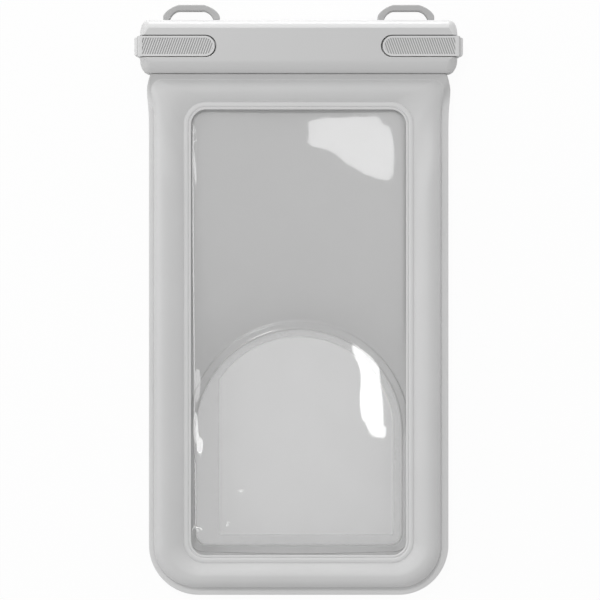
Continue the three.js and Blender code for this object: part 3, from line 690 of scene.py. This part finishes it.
def film_height(x, y):
    """Height over the film's lowest edge: level, less a fall on the left, plus long low waves.

    The fall is full at the left weld and fades inwards as an exponential, and towards the corners.
    """
    depth = np.maximum(edge_distance(x, y), 0)
    left = smooth(-x, *LEFT_EDGE) * smooth(WINDOW_TOP - y, *CORNER_FADE)
    fall = left * smooth(y - WINDOW_BOTTOM, *CORNER_FADE) * np.exp(-depth / LEFT_REACH)
    waves = FILM_WAVE * wander(x * 1.3, y * 0.8) * smooth(depth, 0, WAVES_FULL)
    return EDGE_BEND * (1 - fall) + waves


def clear_sheet(name, edge_rings, centre, base_z, height, thickness):
    """A closed sheet over nested rings: its under side outwards, its edge, its top inwards."""
    x, y = edge_rings[..., 0], edge_rings[..., 1]
    low = base_z + height(x, y)
    under = np.stack([x, y, low], -1)
    over = np.stack([x, y, low + thickness], -1)
    middle = base_z + height(np.array(centre[0]), np.array(centre[1]))
    first = [[*centre, middle]]
    last = [[*centre, middle + thickness]]
    return sheet_piece(name, np.concatenate([under[::-1], over]), first, last)


def nested_rings(edge, centre, count, crowd=1.6):
    """Rings from the edge towards the centre. A crowd above 1 draws them together at the edge."""
    share = np.linspace(0, 1, count, endpoint=False) ** crowd
    return edge + (np.array(centre) - edge) * share[:, None, None]


film_edge = outline_rings(np.full((1, 1), 2 + FIT / BEAD))[0]
window_centre = (0.0, (WINDOW_TOP + WINDOW_BOTTOM) / 2)
film_rings = nested_rings(film_edge, window_centre, FILM_RINGS)
touch_film = clear_sheet(
    "touch_film", film_rings, window_centre, film_low.z, film_height, FILM_THICK
)
dress(touch_film, touch_finish, "pouch", "front_window")


# %% [markdown]
# ## The back panel
# The panel is a sheet with a hole, so its rings run from the arch out to the frame. The arch is a
# half circle on straight legs with small rounded feet. Seen from a point inside it, both the arch
# and the rounded rectangle have one distance for each direction, so a ring is a blend of the two
# distances.

# %% The arch and rings around it
ARCH_CENTRE = (0.0, -54 * MM)
LENS_TUCK = 1.6 * MM
ARCH_HALF = lens_high.x - LENS_TUCK
ARCH_FLOOR = lens_low.y + LENS_TUCK
ARCH_TOP = lens_high.y - LENS_TUCK
ARCH_SPRING = ARCH_TOP - ARCH_HALF
ARCH_FOOT = 4.5 * MM
DIRECTIONS = 640


def arch_outline(grow, steps=90):
    """The arch grown by a margin: two feet, two legs and a half circle, anticlockwise."""
    half, foot, floor = ARCH_HALF + grow, ARCH_FOOT + grow, ARCH_FLOOR - grow
    right = np.linspace(-np.pi / 2, 0, steps)
    crown = np.linspace(0, np.pi, 3 * steps)
    left = np.linspace(np.pi, 1.5 * np.pi, steps)
    x = np.concatenate([
        half - foot + foot * np.cos(right),
        half * np.cos(crown),
        foot - half + foot * np.cos(left),
    ])
    y = np.concatenate([
        floor + foot + foot * np.sin(right),
        ARCH_SPRING + half * np.sin(crown),
        floor + foot + foot * np.sin(left),
    ])
    return np.stack([x, y], -1)


def dense(outline, count=6000):
    """The same closed outline with many evenly shared points."""
    closed = np.vstack([outline, outline[:1]])
    length = np.concatenate([[0], np.cumsum(np.hypot(*np.diff(closed, axis=0).T))])
    walk = np.linspace(0, length[-1], count, endpoint=False)
    return np.stack([np.interp(walk, length, closed[:, axis]) for axis in range(2)], -1)


def reach(outline, angles):
    """How far the outline lies from the arch's centre in each direction."""
    offset = dense(outline) - ARCH_CENTRE
    around = np.arctan2(offset[:, 1], offset[:, 0])
    order = np.argsort(around)
    return np.interp(angles, around[order], np.hypot(*offset.T)[order], period=2 * np.pi)


directions = np.linspace(0, 2 * np.pi, DIRECTIONS, endpoint=False)
unit = np.stack([np.cos(directions), np.sin(directions)], -1)
arch_reach = reach(arch_outline(0), directions)
rim_reach = reach(film_edge, directions)
print(f"arch {ARCH_HALF * 2 / MM:.1f} mm wide and {(ARCH_TOP - ARCH_FLOOR) / MM:.1f} mm high")


# %% [markdown]
# The panel is a slack sheet. A weld band 3.4 mm wide stands 0.5 mm proud round the arch, with a
# fine round lip at the arch's edge. Outside the band the sheet swells towards the touch film, and
# that slope darkens the zone over the arch; its finish also paints that zone darker, as painted
# shade. The sheet stands a little higher near the frame's two sides, and it rises at once beside
# the arch's foot.

# %% The back panel
WELD_BAND = 3.4 * MM
WELD_RISE = 0.5 * MM
LIP_WIDTH = 0.7 * MM
LIP_RISE = 0.16 * MM
BAND_STEP = 0.35 * MM
PANEL_SWELL = 5.0 * MM
SWELL_REACH = 14 * MM
PANEL_DRAPE = 1.6 * MM
DRAPE_REACH = 12 * MM
PANEL_WAVE = 0.12 * MM
WAVE_REACH = 10 * MM
FOOT_RISE = 3.0 * MM
FOOT_WALL = (0.6 * MM, 3.6 * MM)
FOOT_ZONE = (-2 * MM, 8 * MM)
UNDER_FRAME = 0.86
FRAME_FADE = (-1.5 * MM, 2 * MM)
BAND_BLUR = 0.6 * MM
LEG_FADE = 10 * MM
LEG_PAINTED_LIGHT = 0.9
ABOVE_ARCH_PAINTED_SHADE = 0.6
ABOVE_ARCH_SHADE_REACH = 7 * MM
PANEL_THICK = 0.5 * MM
PANEL_RINGS = 90


def panel_height(distance, x, y):
    """Height over the panel's flat, at a distance outwards from the arch.

    Past the weld band come the swelling, the drape and long waves, which are all a little lower
    under the frame. The rise beside the arch's foot starts below the half circle.
    """
    lip = LIP_RISE * np.sin(np.pi * np.clip(distance / LIP_WIDTH, 0, 1))
    band = WELD_RISE * (1 - smooth(distance, WELD_BAND - BAND_STEP, WELD_BAND))
    inside = UNDER_FRAME + (1 - UNDER_FRAME) * smooth(edge_distance(x, y), *FRAME_FADE)
    past = np.maximum(distance - WELD_BAND, 0)
    swell = PANEL_SWELL * (1 - np.exp(-past / SWELL_REACH))
    drape = PANEL_DRAPE * (x / WINDOW_HALF) ** 2 * smooth(past, 0, DRAPE_REACH)
    waves = PANEL_WAVE * smooth(past, 0, WAVE_REACH) * wander(x * 0.8, y * 0.7)
    rise = FOOT_RISE * smooth(distance, *FOOT_WALL) * smooth(ARCH_SPRING - y, *FOOT_ZONE)
    return lip + band + inside * (swell + drape + waves) + rise


def weld_band_and_painted_shade(distance, y):
    """1 on the weld band's arch, a painted shade that fades over a zone above it, and little along
    the legs, which paints them lighter against the shade there.
    """
    band = 1 - smooth(distance, WELD_BAND - BAND_BLUR, WELD_BAND + BAND_BLUR)
    # On the legs the band's darker tone is mostly taken off, as painted light against the shade
    # beside the frame.
    band = band * (1 - LEG_PAINTED_LIGHT * smooth(ARCH_SPRING - y, 0, LEG_FADE))
    # A painted shade fades over the zone above the arch.
    zone = ABOVE_ARCH_PAINTED_SHADE * np.exp(-np.maximum(distance - WELD_BAND, 0) / ABOVE_ARCH_SHADE_REACH)
    return np.maximum(band, zone * smooth(y, ARCH_SPRING, ARCH_TOP))


share = np.linspace(0, 1, PANEL_RINGS) ** 1.5
panel_reach = arch_reach + (rim_reach - arch_reach) * share[:, None]
panel_xy = panel_reach[..., None] * unit + ARCH_CENTRE
px, py = panel_xy[..., 0], panel_xy[..., 1]
panel_top = panel_low.z + PANEL_THICK + panel_height(panel_reach - arch_reach, px, py)
panel_rings = np.concatenate([
    np.stack([px, py, panel_top - PANEL_THICK], -1),
    np.stack([px, py, panel_top], -1)[::-1],
])
panel = tube_piece("rear_panel", panel_rings)
# This mask holds the weld band's tone, the painted shade above the arch and painted light along the
# legs.
weld = weld_band_and_painted_shade(panel_reach - arch_reach, py)
paint_points(panel, "weld_and_painted_light", np.concatenate([weld, weld[::-1]]))
dress(panel, panel_finish, "pouch", "back_panel")

# %% [markdown]
# ## The camera window
# A clear film closes the arch from behind. It is pressed into a shallow tray whose border is wide
# on the left, narrow on the right and below, and follows the arch above. The tray's floor is a
# second, milkier layer, and it bulges slightly towards the viewer.

# %% The camera window
LENS_THICK = 0.3 * MM
LENS_RINGS = 110
LENS_STEP = 0.5 * MM
LENS_DOME = 1.0 * MM
DOME_STRETCH = 1.1
TRAY_LEFT = 8.2 * MM
TRAY_RIGHT = 2.6 * MM
TRAY_BELOW = 3.2 * MM
TRAY_ABOVE = 2.2 * MM
TRAY_EDGE = 0.9 * MM


def tray(x, y):
    """1 on the tray's floor and 0 on its border, with a smooth wall between."""
    round_top = ARCH_HALF - TRAY_ABOVE - np.hypot(x, np.maximum(y - ARCH_SPRING, 0))
    sides = np.minimum(x + ARCH_HALF - TRAY_LEFT, ARCH_HALF - TRAY_RIGHT - x)
    way = np.minimum(np.minimum(round_top, sides), y - ARCH_FLOOR - TRAY_BELOW)
    return smooth(way, 0, TRAY_EDGE)


def lens_dome(x, y):
    """The slight dome of the window, which falls off as the square of the way out."""
    out_y = (y - ARCH_SPRING) / (ARCH_HALF * DOME_STRETCH)
    return LENS_DOME * np.clip(1 - (x / ARCH_HALF) ** 2 - out_y**2, 0, 1)


def lens_height(x, y):
    """The dome less the tray's step down."""
    return lens_dome(x, y) - LENS_STEP * tray(x, y)


lens_edge = reach(arch_outline(LENS_TUCK), directions)[:, None] * unit + ARCH_CENTRE
lens_rings = nested_rings(lens_edge, ARCH_CENTRE, LENS_RINGS, 1.15)
lens = clear_sheet(
    "camera_film", lens_rings, ARCH_CENTRE, lens_high.z - LENS_THICK, lens_height, LENS_THICK
)
places = np.array([vertex.co[:2] for vertex in lens.data.vertices])
paint_points(lens, "tray", tray(*places.T))
dress(lens, lens_finish, "pouch", "camera_window")


# %% [markdown]
# ## The rigid pieces
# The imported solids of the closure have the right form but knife-sharp edges, and light runs along
# an edge only if it is rounded. Each visible one is copied, its loose triangles are merged into
# clean faces, and a small Bevel rounds the edges. The copy rides on the same body as the solid
# that it stands for, so a latch still swings.

# %% Moulded copies with rounded edges
SHARP = np.radians(21)
COPLANAR = np.radians(0.4)
SAME_POINT = 0.002 * MM
BEVEL_FOOT = 3.4 * MM
LOWER_BEVEL = np.array([[0, 0.31, 1.21, 2.64, 4.5], [1.9, 1.82, 1.27, 0.72, 0]]) * MM
UPPER_BEVEL = np.array([[0, 0.23, 0.92, 2.0, 3.4], [1.1, 1.0, 0.75, 0.41, 0]]) * MM


def fuller_bevels(place):
    """Lifts a point of the front bar's long bevels, so that they turn down late, as on a real bar.

    Each table gives the lift for some distances from the bar's lower or upper edge.
    """
    if place.z > bar_low.z + BEVEL_FOOT:
        lower = np.interp(place.y - bar_low.y, *LOWER_BEVEL)
        place.z += lower + np.interp(bar_high.y - place.y, *UPPER_BEVEL)


def moulded(node, name, radius, material, slot, body, warp=None):
    """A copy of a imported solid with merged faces, whose edges are rounded by the radius."""
    copy = bmesh.new()
    copy.from_mesh(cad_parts[node].data)
    bmesh.ops.remove_doubles(copy, verts=copy.verts, dist=SAME_POINT)
    bmesh.ops.dissolve_limit(copy, angle_limit=COPLANAR, verts=copy.verts, edges=copy.edges)
    if warp:
        for vertex in copy.verts:
            warp(vertex.co)
    mesh = bpy.data.meshes.new(name)
    copy.to_mesh(mesh)
    copy.free()
    mesh.shade_smooth()
    piece = add_object(name, mesh)
    bevel = piece.modifiers.new("rounded edges", "BEVEL")
    bevel.width = radius
    bevel.segments = 3
    bevel.limit_method = "ANGLE"
    bevel.angle_limit = SHARP
    bevel.use_clamp_overlap = True
    weighted = piece.modifiers.new("flat faces", "WEIGHTED_NORMAL")
    weighted.keep_sharp = True
    dress(piece, material, body, node)


closure_dress = (closure_finish, "closure_plastic", "pouch")
moulded("front_clamp_bar", "front_bar", 0.35 * MM, *closure_dress, warp=fuller_bevels)
moulded("back_clamp_bar", "back_bar", 0.18 * MM, *closure_dress)
for hand in ("left", "right"):
    latch = f"{hand}_latch"
    moulded(latch, f"{hand}_flip_latch", 0.06 * MM, latch_finish, "latch_plastic", latch)
    moulded(f"{hand}_lanyard_loop", f"{hand}_loop", 0.5 * MM, loop_finish, "loop_plastic", "pouch")

# %% [markdown]
# The pins and the silicone strips are right as they are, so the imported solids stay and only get
# their finish.

# %% Finish the nodes that stay
for node, material in {
    "front_seal_strip": silicone_finish,
    "back_seal_strip": silicone_finish,
    "left_latch_pin": steel_finish,
    "right_latch_pin": steel_finish,
}.items():
    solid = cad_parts[node]
    solid.data.materials.clear()
    solid.data.materials.append(material)
    print(node, "keeps its solid")


# %% [markdown]
# ## The stage
# The floor is plain and nearly white. A camera ray sees it as part plain paint, which keeps the
# pouch's soft shadow, and mostly even white, so that the page looks white without more light on
# the pouch. The world works alike: it is white where it is looked at or mirrored, and dimmer as
# a light.

# %% Floor and world
FLOOR_HALF = 4.0
FLOOR_DROP = 0.02 * MM
WHITE_SHARE = 0.95
AMBIENT = 0.58

floor_finish = Finish("white_floor")
paint = floor_finish.add("BsdfPrincipled", {}, {"Base Color": grey(0.88), "Roughness": 0.9})
page = floor_finish.add("Emission", {}, {"Color": grey(1.0), "Strength": 1.0})
white = WHITE_SHARE * floor_finish.add("LightPath")["Is Camera Ray"]
blend = floor_finish.add("MixShader", {}, {0: white, 1: paint, 2: page})
corners = np.array([[-1, -1, 0], [1, -1, 0], [1, 1, 0], [-1, 1, 0]]) * FLOOR_HALF
floor = make_piece("floor", corners - np.array([0, 0, FLOOR_DROP]), [[0, 1, 2, 3]])
floor.data.materials.append(floor_finish.show(blend))

world = bpy.data.worlds.new("studio")
world.use_nodes = True
bpy.context.scene.world = world
sky = Finish("studio", world.node_tree)
path = sky.add("LightPath")
looked_at = path["Is Camera Ray"].most(path["Is Glossy Ray"]).most(path["Is Transmission Ray"])
strength = AMBIENT + (1 - AMBIENT) * looked_at
background = sky.add("Background", {}, {"Color": grey(1.0), "Strength": strength})
sky.add("OutputWorld", {}, {"Surface": background})
print("floor and world made")


# %% [markdown]
# ## The camera
# The photograph looks straight at the window with hardly any perspective, so the camera is a
# long way up with a long lens. Its distance follows from the width that the frame has to show
# at the height of the pouch's face.

# %% Camera
LENS = 180.0
SENSOR = 36.0
VIEW_WIDTH = 225 * MM
VIEW_HEIGHT = 9 * MM
VIEW_SHIFT = 0.5 * MM

camera_data = bpy.data.cameras.new("camera")
camera_data.lens = LENS
camera_data.sensor_width = SENSOR
camera_data.clip_end = 20.0
camera = add_object("camera", camera_data)
camera_place = np.array([VIEW_SHIFT, 0.0, VIEW_HEIGHT + VIEW_WIDTH * LENS / SENSOR])
camera.location = camera_place
bpy.context.scene.camera = camera
bpy.context.scene.view_settings.view_transform = "Standard"
print(f"camera {camera_place[2]:.3f} m up")


# %% [markdown]
# ## The light
# A small lamp nearly overhead, a little up and to the left, draws the bead's narrow shade on the
# panel. A strip low behind the closure lights the bar's upper bevel, and it stands so near that
# little of it reaches the far end of the pouch. A low lamp on the left lifts the left flanks.

# %% Lamps
def lamp(name, place, size, level, aim):
    """A rectangular lamp turned towards aim, which gives white paint that faces it there the level.

    Its power is the level times pi squared times the distance squared.
    """
    data = bpy.data.lights.new(name, "AREA")
    data.shape = "RECTANGLE"
    data.size, data.size_y = size
    way = np.array(aim) - np.array(place)
    data.energy = level * np.pi**2 * (way @ way)
    piece = add_object(name, data)
    piece.location = place
    piece.rotation_euler = Vector(way).to_track_quat("-Z", "Y").to_euler()


CLOSURE_EDGE = (0.0, 0.105, 0.012)
MIDDLE = (0.0, 0.0, 0.01)
lamp("overhead_key", (-0.26, 0.52, 1.42), (0.2, 0.2), 0.19, MIDDLE)
lamp("closure_strip", (0.0, 0.33, 0.022), (0.5, 0.02), 1.35, CLOSURE_EDGE)
lamp("left_softbox", (-1.0, 0.1, 0.3), (0.3, 0.9), 0.2, MIDDLE)


# %% [markdown]
# ## Reflection cards
# The touch film mirrors bright shapes from above the camera. A card is such a shape, and its
# outline is found backwards: the glint is outlined on the film where it should show, each corner's
# view ray is mirrored by the film's slope there, and the card's corner lies where that ray reaches
# the card's height. The film's waves then bend the card's image back into the outline.

# %% Cards traced back from the touch film
CARD_HEIGHT = 1.6
SLOPE_STEP = 0.05 * MM


def rounded(outline):
    """A closed outline whose sides keep only their middle halves, which cuts the corners off."""
    after = np.roll(outline, -1, axis=0)
    halves = np.stack([outline * 0.75 + after * 0.25, outline * 0.25 + after * 0.75], 1)
    return halves.reshape(-1, 2)


def mirrored(outline):
    """Where view rays that meet the touch film along an outline reach the cards' height."""
    x, y = outline.T
    rise_x = film_height(x + SLOPE_STEP, y) - film_height(x - SLOPE_STEP, y)
    rise_y = film_height(x, y + SLOPE_STEP) - film_height(x, y - SLOPE_STEP)
    normal = np.stack([-rise_x, -rise_y, np.full_like(x, 2 * SLOPE_STEP)], -1)
    normal /= np.linalg.norm(normal, axis=1, keepdims=True)
    point = np.stack([x, y, film_low.z + FILM_THICK + film_height(x, y)], -1)
    ray = point - camera_place
    ray = ray - 2 * np.sum(ray * normal, axis=1, keepdims=True) * normal
    return point + ray * ((CARD_HEIGHT - point[:, 2:]) / ray[:, 2:])


def card(name, brightness, outline):
    """A glowing sheet that only mirror rays meet, so shaped that it fills the outline in mm."""
    corners = mirrored(rounded(np.array(outline) * MM))
    piece = make_piece(name, corners, [list(range(len(corners)))])
    finish = Finish(name)
    glow = finish.add("Emission", {}, {"Color": grey(1.0), "Strength": brightness})
    piece.data.materials.append(finish.show(glow))
    piece.visible_camera = False
    piece.visible_diffuse = False
    piece.visible_transmission = False
    piece.visible_shadow = False
    print(name, "lies around", np.round(corners.mean(0), 2))


card("window_card", 5.0, [
    (3.5, 68.0), (27.9, 68.9), (29.7, 68.5), (32.7, 64.6), (34.0, 65.0), (35.3, 60.7), (35.9, 53.9),
    (35.3, 45.2), (30.9, 44.8), (26.2, 46.7), (25.1, 46.5), (21.9, 49.1), (17.8, 51.0),
    (15.0, 53.9), (10.7, 56.4), (4.7, 57.5), (3.9, 59.0), (4.6, 61.4), (3.8, 62.9),
])
card("sliver_card", 5.0, [(-40.4, 64.2), (-40.0, 64.0), (-37.8, 44.6), (-38.9, 43.0)])
card("lower_sliver_card", 4.4, [(-39.2, -26.0), (-36.5, -26.0), (-37.2, -38.0), (-39.2, -38.0)])
card("arch_sliver_card", 7.0, [
    (-39.4, -42.0), (-37.9, -42.0), (-37.6, -51.0), (-35.6, -52.5), (-36.2, -58.0), (-38.0, -57.0),
    (-38.2, -53.0), (-39.4, -53.0),
])
card("arch_card", 9.0, [
    (19.4, -15.9), (25.0, -19.3), (30.0, -24.3), (30.3, -29.2), (31.4, -37.3), (31.7, -43.5),
    (31.6, -47.6), (32.7, -47.0), (32.7, -51.6), (27.8, -51.3), (26.3, -49.1), (24.4, -44.9),
    (23.2, -44.5), (23.5, -42.3), (22.7, -38.6), (23.2, -32.3), (23.2, -25.8), (21.0, -21.5),
])
card("upper_speck", 7.0, [(-22.8, -71.0), (-20.8, -71.2), (-20.7, -71.9), (-22.2, -71.8)])
card("lower_speck", 7.0, [(-27.7, -84.4), (-26.4, -82.7), (-26.2, -83.3), (-27.0, -84.6)])
